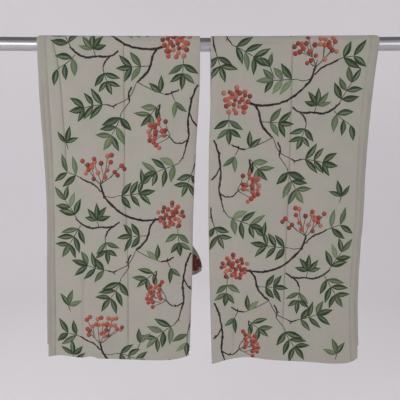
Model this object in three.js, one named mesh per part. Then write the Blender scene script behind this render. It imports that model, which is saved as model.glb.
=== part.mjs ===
// A pair of printed linen curtain panels, each folded lengthwise into four layers and laid over one round steel rod.
// Millimetres, +Z up. X runs along the rod, and the front of the cloth faces -Y.
// The origin is the centre of the rod's left end face. The tables below measure X from the middle of the rod,
// and down from the rod's axis.

import * as THREE from "three";

const { degToRad, lerp, mapLinear, smoothstep } = THREE.MathUtils;

// Rod
const rodLength = 820;
const rodRadius = 12.5;
const rodSag = 2.5; // its middle hangs this far below its ends
const rodSides = 32;
const rodSteps = 12;

// Cloth
const clothThickness = 1;
const layerCount = 4;
const layerGap = 0.5;
const seatGap = 0.5; // from the rod to the innermost layer
const freeEdgeInset = 2.5; // a free side edge ends this far inside the folds next to it
const liftDepth = 220; // below this depth the swells and creases stand out in full
const foldAngles = [-30, 30]; // degrees, where the round of a fold has its points
const frontSteps = 10;
const turnSteps = 10;
const backSteps = 7;

const layerPitch = clothThickness + layerGap;
const foldRadius = layerPitch / 2;
const innermostRadius = rodRadius + seatGap + clothThickness / 2;

// How much shorter the stack hangs at each side of each layer, from the front layer's free edge
// through the three folds to the rear layer's free edge
const shortfalls = [0, 0, 25, 8, 18];

// Each panel's outer side is the one away from the other panel.
// Lines run down the whole panel: edges, hem, creases and the soft swells between them. A line lies at the share
// "top" of the way across on the rod and at the shares "front" and "back" at the two bottoms, where it stands
// out from the flat by its lift.
const panels = [
  {
    name: "curtain_left",
    color: 0xa89f93,
    lines: [
      { top: 0, front: 0, frontLift: 0, back: 0, backLift: 2 },
      { top: 0.053, front: 0.045, frontLift: -1.5, back: 0.053, backLift: 0.5 },
      { top: 0.1, front: 0.155, frontLift: 0.5, back: 0.15, backLift: 2 },
      { top: 0.3, front: 0.33, frontLift: 2.5, back: 0.3, backLift: 3 },
      { top: 0.53, front: 0.57, frontLift: 0, back: 0.54, backLift: -1 },
      { top: 0.78, front: 0.78, frontLift: 2.5, back: 0.78, backLift: 2 },
      { top: 1, front: 1, frontLift: -2.5, back: 1, backLift: -1 },
    ],
    front: {
      outline: [
        { down: 0, outer: -300, inner: 0 },
        { down: 80, outer: -300, inner: -1 },
        { down: 180, outer: -297, inner: -7 },
        { down: 310, outer: -296, inner: -13 },
        { down: 450, outer: -302, inner: -16 },
        { down: 620, outer: -308, inner: -22 },
      ],
      drops: [
        { across: 0, drop: 612 },
        { across: 0.3, drop: 610 },
        { across: 0.43, drop: 618 },
        { across: 0.7, drop: 622 },
        { across: 0.95, drop: 616 },
        { across: 1, drop: 611 },
      ],
    },
    back: {
      outline: [
        { down: 0, outer: -300, inner: 0 },
        { down: 200, outer: -303, inner: -12 },
        { down: 385, outer: -306, inner: -17 },
        { down: 440, outer: -307, inner: 3 },
      ],
      drops: [
        { across: 0, drop: 446 },
        { across: 0.5, drop: 455 },
        { across: 0.93, drop: 452 },
        { across: 1, drop: 442 },
      ],
    },
  },
  {
    name: "curtain_right",
    color: 0x9c948a,
    lines: [
      { top: 0, front: 0, frontLift: 2, back: 0, backLift: -1 },
      { top: 0.05, front: 0.07, frontLift: 0.5, back: 0.05, backLift: 0.5 },
      { top: 0.14, front: 0.16, frontLift: 1.5, back: 0.16, backLift: 2 },
      { top: 0.3, front: 0.32, frontLift: -0.5, back: 0.3, backLift: 3 },
      { top: 0.515, front: 0.52, frontLift: 1, back: 0.52, backLift: -0.5 },
      { top: 0.76, front: 0.78, frontLift: 3, back: 0.76, backLift: 2 },
      { top: 1, front: 1, frontLift: -2, back: 1, backLift: 0 },
    ],
    front: {
      outline: [
        { down: 0, outer: 331, inner: 20 },
        { down: 80, outer: 324, inner: 20.5 },
        { down: 190, outer: 318, inner: 17.5 },
        { down: 310, outer: 317, inner: 16.5 },
        { down: 480, outer: 314, inner: 20 },
        { down: 620, outer: 322, inner: 24 },
      ],
      drops: [
        { across: 0, drop: 614 },
        { across: 0.05, drop: 624 },
        { across: 0.15, drop: 628 },
        { across: 0.6, drop: 620 },
        { across: 0.78, drop: 613 },
        { across: 0.88, drop: 618 },
        { across: 1, drop: 628 },
      ],
    },
    back: {
      outline: [
        { down: 0, outer: 331, inner: 20 },
        { down: 200, outer: 322, inner: 21 },
        { down: 460, outer: 318, inner: 24 },
      ],
      drops: [
        { across: 0, drop: 458 },
        { across: 0.4, drop: 452 },
        { across: 1, drop: 449 },
      ],
    },
  },
];

// The value of one column of a table, between its rows
function lookUp(rows, key, value, column) {
  const next = rows.findIndex((row) => row[key] >= value);
  if (next === 0) return rows[0][column];
  if (next < 0) return rows.at(-1)[column];
  const above = rows[next - 1];
  const below = rows[next];
  return mapLinear(value, above[key], below[key], above[column], below[column]);
}

function sagAt(x) {
  return rodSag * (1 - (x / (rodLength / 2)) ** 2);
}

// The centreline of the folded section, back and forth through the layers. Layers are counted from the outside,
// and shift moves a point towards the inner side.
function foldedSection(lineCount) {
  const points = [];
  const lineIndices = Array.from({ length: lineCount }, (_, index) => index);
  for (let layer = 0; layer < layerCount; layer++) {
    const inward = layer % 2 === 0;
    for (const line of inward ? lineIndices : lineIndices.toReversed()) {
      const outerEdge = line === 0;
      const innerEdge = line === lineCount - 1;
      const free = outerEdge && (layer === 0 || layer === layerCount - 1);
      const inset = free ? freeEdgeInset : foldRadius;
      const share = inward ? line / (lineCount - 1) : 1 - line / (lineCount - 1);
      points.push({
        line,
        layer,
        shift: outerEdge ? inset : innerEdge ? -inset : 0,
        shortfall: lerp(shortfalls[layer], shortfalls[layer + 1], share),
      });
    }
    if (layer === layerCount - 1) break;
    for (const angle of foldAngles) {
      const pastCentre = foldRadius * (1 - Math.cos(degToRad(angle)));
      points.push({
        line: inward ? lineCount - 1 : 0,
        layer: layer + (1 + Math.sin(degToRad(angle))) / 2,
        shift: inward ? -pastCentre : pastCentre,
        shortfall: shortfalls[layer + 1],
      });
    }
  }
  return points;
}

// Where one point of the section lies at a station: inwards is its X with the panel's inner side towards +X,
// and radius is its distance from the rod's axis, or from the plane below it.
function placeOnStation(panel, side, station, point) {
  const line = panel.lines[point.line];
  const flap = panel[station.flap];
  const across = lerp(line.top, line[station.flap], station.reach);
  const down = station.reach * (lookUp(flap.drops, "across", across, "drop") - point.shortfall);
  const outer = lookUp(flap.outline, "down", down, "outer");
  const inner = lookUp(flap.outline, "down", down, "inner");
  const lift = line[station.flap + "Lift"] * smoothstep(down, 0, liftDepth);
  return {
    inwards: side * lerp(outer, inner, across) + point.shift,
    radius: innermostRadius + (layerCount - 1 - point.layer) * layerPitch,
    down,
    lift,
  };
}

// Both faces of the cloth at a station, as two rows of points half a thickness to each side of the centreline
function clothFaces(centres) {
  const normals = centres.slice(1).map((next, index) => {
    const along = new THREE.Vector2(next.inwards - centres[index].inwards, next.radius - centres[index].radius);
    return new THREE.Vector2(-along.y, along.x).normalize();
  });
  const faces = [[], []];
  centres.forEach((centre, index) => {
    const before = normals[Math.max(index - 1, 0)];
    const after = normals[Math.min(index, normals.length - 1)];
    const mitre = before.clone().add(after).normalize();
    mitre.multiplyScalar(clothThickness / 2 / mitre.dot(after));
    faces.forEach((face, faceIndex) => {
      const sign = faceIndex === 0 ? 1 : -1;
      face.push({
        ...centre,
        inwards: centre.inwards + sign * mitre.x,
        radius: centre.radius + sign * mitre.y,
      });
    });
  });
  return faces;
}

function toSpace(side, station, point) {
  const x = side * point.inwards;
  const towardsBack = station.turn === undefined ? (station.flap === "front" ? -1 : 1) : -Math.cos(station.turn);
  const above = station.turn === undefined ? -point.down : point.radius * Math.sin(station.turn);
  return [x, towardsBack * (point.radius + point.lift), above - sagAt(x)];
}

// Stations run from the front bottom up the front flap, over the rod and down the back flap.
function panelStations() {
  const stations = [];
  for (let step = frontSteps; step >= 0; step--) stations.push({ flap: "front", reach: step / frontSteps });
  for (let step = 1; step < turnSteps; step++) {
    stations.push({ flap: "front", reach: 0, turn: (Math.PI * step) / turnSteps });
  }
  for (let step = 0; step <= backSteps; step++) stations.push({ flap: "back", reach: step / backSteps });
  return stations;
}

function curtainGeometry(panel) {
  const side = Math.sign(panel.front.outline[0].inner - panel.front.outline[0].outer);
  const section = foldedSection(panel.lines.length);
  const stations = panelStations();
  const positions = [];
  for (const station of stations) {
    const centres = section.map((point) => placeOnStation(panel, side, station, point));
    const [printed, plain] = clothFaces(centres);
    for (const point of [...printed, ...plain.reverse()]) positions.push(...toSpace(side, station, point));
  }

  const ring = 2 * section.length;
  const ringLines = [...section, ...section.toReversed()].map((point) => point.line);
  const triangles = [];
  const addQuad = (a, b, c, d) => {
    triangles.push(...(side > 0 ? [a, b, c, a, c, d] : [a, c, b, a, d, c]));
  };
  for (let row = 0; row < stations.length - 1; row++) {
    for (let index = 0; index < ring; index++) {
      const next = (index + 1) % ring;
      const corners = [[row, index], [row, next], [row + 1, next], [row + 1, index]];
      // Every layer is split along the same diagonal, so that neighbouring layers stay parallel.
      if (ringLines[next] < ringLines[index]) corners.push(corners.shift());
      addQuad(...corners.map(([atRow, atIndex]) => atRow * ring + atIndex));
    }
  }
  const lastRow = (stations.length - 1) * ring;
  for (let index = 0; index < section.length - 1; index++) {
    const opposite = ring - 1 - index;
    addQuad(index + 1, index, opposite, opposite - 1);
    addQuad(lastRow + index, lastRow + index + 1, lastRow + opposite - 1, lastRow + opposite);
  }

  const geometry = new THREE.BufferGeometry();
  geometry.setAttribute("position", new THREE.Float32BufferAttribute(positions, 3));
  geometry.setIndex(triangles);
  geometry.computeVertexNormals();
  return geometry;
}

function makeCurtain(panel) {
  const material = new THREE.MeshStandardMaterial({ color: panel.color, roughness: 0.9, metalness: 0 });
  const mesh = new THREE.Mesh(curtainGeometry(panel), material);
  mesh.name = panel.name;
  return mesh;
}

// The rod is plain, with flat ends, and sags a little between the brackets that would hold it.
function makeRod() {
  const geometry = new THREE.CylinderGeometry(rodRadius, rodRadius, rodLength, rodSides, rodSteps);
  geometry.rotateZ(Math.PI / 2);
  const position = geometry.getAttribute("position");
  for (let index = 0; index < position.count; index++) {
    position.setZ(index, position.getZ(index) - sagAt(position.getX(index)));
  }
  geometry.computeVertexNormals();
  const material = new THREE.MeshStandardMaterial({ color: 0xc8cacc, roughness: 0.18, metalness: 1 });
  const mesh = new THREE.Mesh(geometry, material);
  mesh.name = "rod";
  return mesh;
}

const curtainSet = new THREE.Group();
curtainSet.add(makeRod(), ...panels.map(makeCurtain));
curtainSet.position.x = rodLength / 2;

export default curtainSet;
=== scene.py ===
"""A pair of printed linen curtain panels, each folded lengthwise and laid over one round steel rod.

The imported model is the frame: the rod and the two curtains here stand for its three nodes, in metres.
The cloth's own tables are in millimetres. They measure x from the middle of the rod and down from the
rod's axis, and the flat cloth has s across it from the front layer's free edge, and t down its front
from the rod.
"""

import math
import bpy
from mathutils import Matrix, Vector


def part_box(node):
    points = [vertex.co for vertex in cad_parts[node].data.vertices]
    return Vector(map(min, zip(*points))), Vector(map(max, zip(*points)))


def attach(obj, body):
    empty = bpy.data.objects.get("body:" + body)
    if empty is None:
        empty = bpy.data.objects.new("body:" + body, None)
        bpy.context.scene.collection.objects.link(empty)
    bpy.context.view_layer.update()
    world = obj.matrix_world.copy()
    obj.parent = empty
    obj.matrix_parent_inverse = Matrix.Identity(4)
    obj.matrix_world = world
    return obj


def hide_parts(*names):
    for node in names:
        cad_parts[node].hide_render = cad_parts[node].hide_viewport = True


bl_info = {
    "name": "Printed Curtain Pair",
    "version": (1, 0, 0),
    "blender": (4, 5, 0),
    "location": "View3D > Sidebar > Curtains",
    "description": "Builds two folded, printed linen curtains on a polished rod, and a studio stage",
    "category": "Add Mesh",
}

from collections import namedtuple
from itertools import compress

import bpy
import numpy as np
from bpy.props import FloatProperty, FloatVectorProperty, PointerProperty
from mathutils import Vector
from mathutils.geometry import delaunay_2d_cdt
from mathutils.kdtree import KDTree

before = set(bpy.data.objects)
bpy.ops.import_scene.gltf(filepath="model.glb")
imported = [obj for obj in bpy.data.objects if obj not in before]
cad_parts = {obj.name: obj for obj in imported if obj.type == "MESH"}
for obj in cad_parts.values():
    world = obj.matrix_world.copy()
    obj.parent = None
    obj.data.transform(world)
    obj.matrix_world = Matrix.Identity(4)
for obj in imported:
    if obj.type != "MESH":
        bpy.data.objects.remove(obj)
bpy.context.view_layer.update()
ROD_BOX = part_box("rod")

MM = 0.001
ROD_MIDDLE = (ROD_BOX[0].x + ROD_BOX[1].x) / 2
ROD_LENGTH = ROD_BOX[1].x - ROD_BOX[0].x
ROD_RADIUS = (ROD_BOX[1].y - ROD_BOX[0].y) / 2
ROD_SAG = -ROD_BOX[0].z - ROD_RADIUS
ROD_STATIONS = 61
ROUND_SIDES = 96

# The camera stands where the photograph was taken from.
CAMERA_PLACE = (ROD_MIDDLE, -0.7816, -0.2002)
CAMERA_TILT = math.radians(7)
LENS = 36.0
SENSOR = 36.0

# The cloth is folded in four across its width. Its first and last layers show.
LAYERS = 4
LAST_LAYER = LAYERS - 1
ROD_GAP = 0.4
FREE_INSET = 2.5
# How much shorter the stack hangs at each side of each layer, from the front layer's free edge through
# the three folds to the rear layer's free edge
SHORTFALLS = (0, 0, 25, 8, 18)
# The depths below the rod at which each of these has come in
SWELL_DEPTH = 220
LOOSE_DEPTH = 150
PUCKER_DEPTH = 70
HANG_DEPTH = 60
NEST_DEPTH = 40
# How far the panel's sides roll back, and over what width
INNER_ROLL = (2.4, 9)
OUTER_ROLL = (1.0, 6)
# How far a crease runs on past its points, the tail over which its painted shade fades out, and how deep
# a crease is whose painted shade is full
CREASE_OVERRUN = 12
CREASE_SHADE_TAIL = 60
CREASE_SHADE_DEPTH = 2
# The small unevenness of hung linen is a sum of waves.
PUCKER_WAVES = 9
PUCKER_LENGTHS = (28, 110)
PUCKER_SLOPE = 0.0034
# The side hem, sewn a little unevenly: the step up to its double cloth, and the groove beside it
HEM_WIDTH = 15.5
HEM_UNEVENNESS = 1.4
HEM_WAVE = 68
HEM_RISE = 0.6
HEM_BLUNTNESS = 0.9
HEM_GROOVE = 0.3
HEM_GROOVE_PLACE = 1.0
HEM_GROOVE_WIDTH = 1.1

# The mesh: rows and columns of points, how near to a fold extra columns lie, how much coarser hidden cloth
# is, and how near to each other points may come
FOLD_COLUMNS = 3
ROD_ROWS = 14
SHOWN_EDGES = (1.2, 2.6, 4.2)
HIDDEN_EDGES = (3,)
HIDDEN_SPREAD = 2.6
CREASE_ROWS = (-1.6, -0.7, 0, 0.7, 1.6)
HEM_ROWS = (-1, -0.2, 1, 2.2)
BORDER_MARGIN = 1
PLAIN_CLEARANCE = 1.15
INK_CLEARANCE = 0.5
INK_MARGIN = 0.3
INK_REACH = 12
SHARP_ANGLE = math.radians(62)
# Down to these depths the other flap hides the rear layer, on the front flap and on the back one.
HIDDEN_FRONT = 400
HIDDEN_BACK = 330

Outline = namedtuple("Outline", "down outer inner")
Drop = namedtuple("Drop", "across drop")
# A soft swell runs down the panel at a share of the way across, from its outer side.
Swell = namedtuple("Swell", "across front back")
# A crease follows its points, each (along, place), along x or down the cloth.
Crease = namedtuple("Crease", "flap runs depth width points")
# A panel's hem_shade is the strength of the painted shade on its side hem.
Panel = namedtuple("Panel", "name node width phase outlines drops swells creases hem_shade back_cluster")
Branch = namedtuple("Branch", "width points")
Spray = namedtuple("Spray", "u v heading pairs leaf")
Fan = namedtuple("Fan", "u v heading leaves leaf")
Ball = namedtuple("Ball", "u v berries reach")
Umbel = namedtuple("Umbel", "u v heading stalks clumps length width depth")
LeafShape = namedtuple("LeafShape", "x y heading length width bend tone glow warmth turned")
Lamp = namedtuple("Lamp", "name place aim size power mirrored")


def table(kind, *rows):
    """Rows of one kind, each from its values in order."""
    return tuple(kind(*row) for row in rows)


PANELS = (
    Panel(
        name="linen_left",
        node="curtain_left",
        width=300,
        phase=0,
        outlines={
            "front": table(
                Outline, (0, -301, 0), (80, -301.5, -1), (180, -298.5, -7), (310, -297, -13),
                (450, -303.5, -16), (620, -309.5, -22),
            ),
            "back": table(
                Outline, (0, -300, 0), (200, -303, -12), (385, -306, -17), (400, -306, -7), (418, -307, 1),
                (433, -307, 4), (446, -307, 3),
            ),
        },
        drops={
            "front": table(
                Drop, (0, 612), (0.08, 610), (0.26, 612), (0.31, 609.5), (0.36, 614), (0.43, 615.5),
                (0.7, 617.5), (0.95, 613.5), (1, 609),
            ),
            "back": table(Drop, (0, 446), (0.5, 455), (0.93, 452), (0.97, 449), (1, 441)),
        },
        swells=table(
            Swell, (0, 0, 2), (0.05, -1.2, 0.5), (0.13, 0.5, 2), (0.32, 2.5, 3), (0.56, 0, -1),
            (0.78, 2.5, 2), (1, -0.5, -1),
        ),
        creases=table(
            Crease,
            (
                "front", "down", -1.8, 1.4,
                ((-10, -274), (35, -264), (77, -260), (142, -257.5), (208, -255.5), (240, -255)),
            ),
            ("front", "down", -1.3, 1.3, ((0, -141), (180, -142.6), (275, -145), (337, -142.5), (610, -145))),
            ("front", "down", -0.5, 3, ((420, -229), (500, -233), (608, -236))),
            (
                "front", "down", -0.7, 1.8,
                ((70, -294), (180, -291.5), (310, -290), (450, -296.5), (600, -302)),
            ),
            ("front", "across", -0.4, 2, ((-186, 52), (-160, 50))),
            ("back", "down", -0.8, 1.6, ((10, -150), (440, -153))),
        ),
        hem_shade=0.2,
        back_cluster=Ball(14, 424, 20, 17),
    ),
    Panel(
        name="linen_right",
        node="curtain_right",
        width=305,
        phase=102,
        outlines={
            "front": table(
                Outline, (0, 331, 20), (80, 324, 20.5), (190, 318, 17.5), (310, 317, 16.5), (480, 314, 20),
                (620, 322, 24),
            ),
            "back": table(Outline, (0, 331, 20), (200, 322, 21), (460, 318, 24)),
        },
        drops={
            "front": table(
                Drop, (0, 614), (0.05, 623.5), (0.15, 626.5), (0.4, 621.5), (0.6, 617.5), (0.78, 610.5),
                (0.88, 615.5), (1, 627.5),
            ),
            "back": table(Drop, (0, 458), (0.4, 452), (1, 449)),
        },
        swells=table(
            Swell, (0, 0.5, -1), (0.06, 0.5, 0.5), (0.15, 1.5, 2), (0.31, -0.5, 3), (0.52, 1, -0.5),
            (0.77, 3, 2), (1, 0, 0),
        ),
        creases=table(
            Crease,
            ("front", "down", -1.35, 1.3, ((0, 171), (180, 171), (290, 169.5), (445, 167), (560, 166))),
            ("front", "down", -0.6, 3, ((430, 62), (560, 66), (618, 66))),
            ("front", "down", -0.6, 1.8, ((90, 317), (190, 312), (310, 311), (480, 308), (600, 315))),
            ("front", "across", -0.5, 1.8, ((96, 0), (160, 2))),
            ("front", "across", -0.5, 2, ((96, 22), (145, 22))),
            ("back", "down", -0.8, 1.6, ((10, 168), (440, 170))),
        ),
        hem_shade=0.15,
        back_cluster=None,
    ),
)

# The printed repeat, charted: u runs inwards from the hem and v runs down, in millimetres.
# Headings are in degrees, with 0 inwards, 90 down and 180 towards the hem.
REPEAT_HEIGHT = 320
PRINT_SEED = 11
# The print runs from this far down the back flap to this far down the front one, clear of the hem's margin.
PRINT_BACK = 470
PRINT_FRONT = 640
PRINT_MARGIN = 19
BRANCHES = table(
    Branch,
    (3.6, ((112, 262), (119, 284), (136, 304), (160, 322), (192, 331), (222, 330), (246, 323))),
    (3.5, ((222, 330), (213, 344), (209, 362), (199, 378), (184, 391))),
    (2.8, ((174, 400), (168, 414), (170, 427))),
    (3.1, ((150, 15), (136, 24), (110, 25), (90, 27), (74, 20), (60, 8))),
    (2.5, ((136, 24), (126, 34), (121, 45))),
    (2.4, ((127, 112), (138, 115), (147, 111))),
    (3.2, ((297, 76), (288, 98), (284, 122), (282, 146), (285, 172), (280, 192))),
    (2.2, ((285, 176), (270, 184), (257, 181), (249, 172))),
    (2.4, ((284, 128), (293, 144), (301, 152))),
    (2.6, ((236, 93), (248, 91), (263, 84))),
    (2.5, ((113, 276), (98, 262), (82, 255), (70, 248))),
    (2.5, ((221, 137), (226, 123), (228, 111))),
    (2.0, ((280, 192), (275, 210), (267, 222))),
    (2.2, ((301, 204), (300, 221), (296, 236))),
)
STALKS = (
    ((209, 362), (202, 362), (198, 362)),
    ((147, 111), (168, 100), (184, 71)),
    ((119, 284), (134, 287), (146, 284)),
    ((121, 45), (122, 50)),
    ((170, 107), (160, 120), (154, 128)),
    ((108, 25), (104, 12)),
    ((248, 90), (252, 98), (256, 106)),
    ((184, 71), (208, 83), (236, 93)),
    ((46, 184), (50, 196)),
    ((196, 262), (190, 276), (186, 284)),
    ((266, 22), (270, 31)),
)
SPRAYS = table(
    Spray,
    (62, 8, 246, 2, 34),
    (70, 22, 122, 2, 35),
    (121, 48, 84, 1, 31),
    (127, 112, 183, 2, 35),
    (199, 42, 176, 1, 33),
    (154, 128, 98, 2, 37),
    (227, 112, 140, 1, 33),
    (270, 31, 92, 1, 33),
    (267, 222, 158, 2, 37),
    (296, 236, 104, 1, 34),
    (70, 248, 205, 1, 36),
    (146, 284, 2, 2, 35),
)
FANS = table(
    Fan,
    (104, 12, -92, 5, 34),
    (228, 90, -114, 2, 34),
    (256, 106, 66, 2, 33),
    (46, 184, -74, 3, 33),
    (196, 262, -70, 2, 32),
)
BALLS = table(Ball, (256, 2, 28, 27))
UMBELS = table(Umbel, (112, 262, -84, 4, 13, 34, 41, 25), (249, 172, -158, 3, 9, 25, 26, 19))

# What is drawn, with a share of leaves for each paleness and of berries for each skin
LEAF_SLIMNESS = 0.35
LEAF_TONES = (0, 0.25, 0.55, 1)
LEAF_SHARES = (0.68, 0.2, 0.08, 0.04)
# How much more red, green and blue the warmest leaf has
LEAF_WARMTH = np.array([0.13, 0, -0.17])
STREAK_NEAR = -0.06
STREAK_FAR = 0.62
BERRY_RADIUS = 4.7
BERRY_SIDES = 10
BERRY_SHARES = (0.3, 0.3, 0.1, 0.16, 0.14)
# The dark skin, given to every berry of the back flap's corner, dark partly as painted shade
DARK = 1
GOLDEN_ANGLE = math.radians(137.5)
STALK_WIDTH = 1.4
STOUT_STALK = 1.2
TWIG_STOUTNESS = 1.18
WASH_REACH = 12
WASH_AMOUNT = 0.6
INKS = (
    "leaf_dark", "leaf_middle", "leaf_light", "leaf_pale", "berry_red", "berry_dark", "berry_light",
    "twig", "stalk", "wash",
)


def colour_setting(name, description, default):
    """A colour that a user would change, as it shows on a screen."""
    return FloatVectorProperty(name=name, description=description, default=default, subtype="COLOR_GAMMA")


def length_setting(name, description, default):
    """A length that a user would change, in metres."""
    return FloatProperty(name=name, description=description, default=default, unit="LENGTH")


class ClothSettings(bpy.types.PropertyGroup):
    """Sizes and colours of the printed linen."""

    thickness: length_setting("Thickness", "Of one layer", 0.45 * MM)
    tight_pitch: length_setting("Pitch on the rod", "From layer to layer on the rod", 0.72 * MM)
    loose_pitch: length_setting("Pitch below", "From layer to layer where they hang", 1.15 * MM)
    spacing: length_setting("Mesh spacing", "Between points of a layer that shows", 8 * MM)
    ground: colour_setting("Linen", "The unprinted cloth", (0.603, 0.589, 0.556))
    blush: colour_setting("Blush", "Warmer clouds in the linen", (0.628, 0.588, 0.565))
    leaf_dark: colour_setting("Leaf edge", "Outlines of leaves", (0.085, 0.118, 0.07))
    leaf_middle: colour_setting("Leaf", "The shaded half of leaves", (0.163, 0.225, 0.145))
    leaf_light: colour_setting("Leaf light", "The lit half of leaves", (0.43, 0.50, 0.37))
    leaf_pale: colour_setting("Pale leaf", "A few faded leaves", (0.41, 0.485, 0.335))
    berry_red: colour_setting("Red berry", "Many berries", (0.55, 0.175, 0.16))
    berry_dark: colour_setting("Dark berry", "Crimson berries", (0.33, 0.075, 0.10))
    berry_light: colour_setting("Light berry", "Unripe berries", (0.71, 0.37, 0.29))
    twig: colour_setting("Twig", "Knotted twigs", (0.10, 0.065, 0.06))
    stalk: colour_setting("Stalk", "Thin stalks", (0.165, 0.165, 0.13))
    # Painted shade: the colour that the bottoms of creases darken towards
    crease: colour_setting("Crease", "The bottom of pressed creases", (0.30, 0.27, 0.25))
    wash: colour_setting("Wash", "The pale bleed round leaves", (0.575, 0.595, 0.53))


class RodSettings(bpy.types.PropertyGroup):
    """Finish of the rod."""

    steel: colour_setting("Steel", "Reflected colour", (0.73, 0.73, 0.74))
    chamfer: length_setting("Chamfer", "At the rod's ends", 0.8 * MM)


class StageSettings(bpy.types.PropertyGroup):
    """The studio round the curtains."""

    wall: colour_setting("Wall", "Floor and backdrop", (0.90, 0.89, 0.90))
    key_power: FloatProperty(name="Key light", description="In watts", default=12.7, subtype="POWER")
    fill_power: FloatProperty(name="Fill light", description="In watts", default=4.1, subtype="POWER")
    panel_power: FloatProperty(name="Bright panels", description="In watts", default=3.0, subtype="POWER")
    wall_power: FloatProperty(name="Wall lights", description="In watts, each", default=5.5, subtype="POWER")
    sky: FloatProperty(name="Room light", description="Brightness of the room around", default=0.22)


class CurtainPairSettings(bpy.types.PropertyGroup):
    """Everything that a user would change."""

    cloth: PointerProperty(type=ClothSettings)
    rod: PointerProperty(type=RodSettings)
    stage: PointerProperty(type=StageSettings)


def linear(colour):
    """A colour given as it shows on a screen, as light."""
    c = np.asarray(colour, float)
    return np.where(c <= 0.04045, c / 12.92, ((c + 0.055) / 1.055) ** 2.4)


def opaque(colour):
    return (*linear(colour), 1.0)


class Number:
    """A number socket. Its operators add Math nodes."""

    def __init__(self, shader, socket):
        self.shader = shader
        self.socket = socket

    def maths(self, operation, *terms):
        settings = {"operation": operation}
        return self.shader.add("ShaderNodeMath", settings, dict(enumerate(terms))).number(0)

    def __add__(self, other):
        return self.maths("ADD", self, other)

    def __radd__(self, other):
        return self.maths("ADD", other, self)

    def __sub__(self, other):
        return self.maths("SUBTRACT", self, other)

    def __rsub__(self, other):
        return self.maths("SUBTRACT", other, self)

    def __mul__(self, other):
        return self.maths("MULTIPLY", self, other)

    def __rmul__(self, other):
        return self.maths("MULTIPLY", other, self)

    def __truediv__(self, other):
        return self.maths("DIVIDE", self, other)

    def __abs__(self):
        return self.maths("ABSOLUTE", self)

    def sine(self):
        return self.maths("SINE", self)

    def least(self, other):
        return self.maths("MINIMUM", self, other)

    def between(self, low, high):
        """From 0 at low to 1 at high, smoothly; low may be the larger."""
        if low > high:
            return 1 - self.between(high, low)
        settings = {"interpolation_type": "SMOOTHSTEP"}
        sockets = {"Value": self, "From Min": low, "From Max": high}
        return self.shader.add("ShaderNodeMapRange", settings, sockets).number("Result")


class Added:
    """A node that has been added, with its outputs at hand."""

    def __init__(self, shader, node):
        self.shader = shader
        self.node = node

    def out(self, key):
        return Shader.find(self.node.outputs, key)

    def number(self, key):
        return Number(self.shader, self.out(key))


class Shader:
    """The node tree of one new material."""

    def __init__(self, name):
        self.material = bpy.data.materials.new(name)
        self.material.use_nodes = True
        self.tree = self.material.node_tree
        self.tree.nodes.clear()

    def add(self, kind, settings=None, sockets=None):
        """Adds a node: its settings first, then the values or links of its sockets."""
        node = self.tree.nodes.new(kind)
        for name, value in (settings or {}).items():
            setattr(node, name, value)
        for key, value in (sockets or {}).items():
            socket = self.find(node.inputs, key)
            if isinstance(value, Number):
                value = value.socket
            if isinstance(value, bpy.types.NodeSocket):
                self.tree.links.new(value, socket)
            else:
                socket.default_value = value
        return Added(self, node)

    @staticmethod
    def find(sockets, key):
        """A socket by its number, identifier or name."""
        if isinstance(key, int):
            return sockets[key]
        return next(s for s in sockets if key in (s.identifier, s.name))

    def mixed(self, factor, first, second):
        settings = {"data_type": "RGBA", "blend_type": "MIX", "clamp_factor": True}
        sockets = {"Factor_Float": factor, "A_Color": first, "B_Color": second}
        return self.add("ShaderNodeMix", settings, sockets).out("Result_Color")

    def noise(self, place, scale, detail, stretch=(1, 1, 1)):
        scaled = self.add("ShaderNodeVectorMath", {"operation": "MULTIPLY"}, {0: place, 1: stretch})
        sockets = {"Vector": scaled.out("Vector"), "Scale": scale, "Detail": detail}
        return self.add("ShaderNodeTexNoise", {}, sockets).number(0)

    def bump(self, height, strength, distance):
        sockets = {"Strength": strength, "Distance": distance, "Height": height}
        return self.add("ShaderNodeBump", {}, sockets).out("Normal")

    def finish(self, sockets):
        """The material, with a Principled surface of these sockets."""
        surface = self.add("ShaderNodeBsdfPrincipled", {}, sockets)
        self.add("ShaderNodeOutputMaterial", {}, {"Surface": surface.out("BSDF")})
        return self.material


def smooth_step(value):
    part = np.clip(value, 0, 1)
    return part * part * (3 - 2 * part)


def blend(first, second, share):
    return first + (second - first) * share


def curve_through(keys, values, at):
    """The values of a table between its rows, on a smooth curve."""
    keys = np.asarray(keys, float)
    values = np.asarray(values, float)
    slopes = np.gradient(values, keys)
    row = np.clip(np.searchsorted(keys, at, side="right") - 1, 0, len(keys) - 2)
    span = keys[row + 1] - keys[row]
    part = np.clip((at - keys[row]) / span, 0, 1)
    rest = 1 - part
    return (
        values[row] * (1 + 2 * part) * rest**2
        + slopes[row] * span * part * rest**2
        + values[row + 1] * (3 - 2 * part) * part**2
        - slopes[row + 1] * span * rest * part**2
    )


def column(rows, name, key, at):
    """One named column of a table of rows."""
    return curve_through([getattr(r, key) for r in rows], [getattr(r, name) for r in rows], at)


def sag_at(x):
    """How far the rod hangs below its ends, in millimetres, at x from its middle."""
    return ROD_SAG / MM * (1 - (x * MM / (ROD_LENGTH / 2)) ** 2)


def hem_width(down):
    return HEM_WIDTH + HEM_UNEVENNESS * np.sin(down / HEM_WAVE)


def roll_back(distance, roll):
    """How far the cloth rolls back at a distance from one side."""
    depth, width = roll
    return -depth * np.clip(1 - distance / width, 0, 1) ** 2


def crease_path(crease, at):
    """The place of a crease at these points along it."""
    along, place = np.array(crease.points, float).T
    return curve_through(along, place, at)


def crease_reach(crease, x, down, tail):
    """How far points lie from a crease, and how much of it there is: it fades in, and out over a tail."""
    at, off = (down, x) if crease.runs == "down" else (x, down)
    distance = np.abs(off - crease_path(crease, at))
    first, last = crease.points[0][0], crease.points[-1][0]
    start = smooth_step((at - first + CREASE_OVERRUN) / (2 * CREASE_OVERRUN))
    return distance, start * smooth_step((last + CREASE_OVERRUN - at) / tail)


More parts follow.
